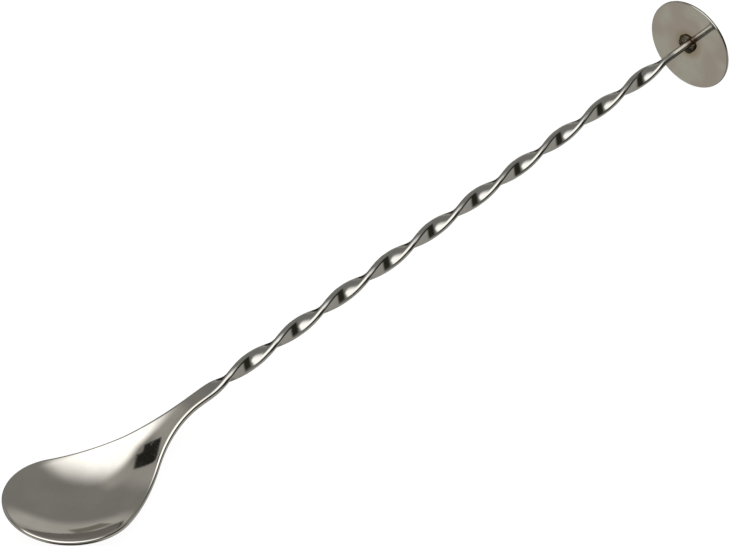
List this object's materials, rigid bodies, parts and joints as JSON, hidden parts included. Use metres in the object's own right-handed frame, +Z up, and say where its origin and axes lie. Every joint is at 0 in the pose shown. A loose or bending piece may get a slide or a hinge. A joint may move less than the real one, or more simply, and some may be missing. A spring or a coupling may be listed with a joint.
{
  "type": "bar spoon",
  "caption": "Long stainless bar spoon: a shallow teardrop bowl, a twisted flat stem for stirring and layering drinks, and a flat round muddler disc welded to the far end.",
  "frame": {"origin": "on the table the spoon lies on, under the middle of its length", "axes": "+X along the stem from the bowl's tip to the muddler disc, +Y across the bowl, +Z up out of the bowl; Z = 0 is the table, which the bowl's underside and the disc's rim both touch"},
  "size_m": [0.2755, 0.0362, 0.03],
  "materials": {
    "polished_steel": "stainless steel, polished to a soft mirror with faint handling scratches",
    "disc_steel": "stainless steel, satin polished, with a faint warm heat tint round the weld",
    "weld_metal": "as welded, dark oxide, slightly rough"
  },
  "bodies": {
    "root": {"spoon_with_twisted_stem": "polished_steel", "muddler_disc": "disc_steel", "weld_bead_upper": "weld_metal", "weld_bead_lower": "weld_metal"}
  },
  "joints": []
}
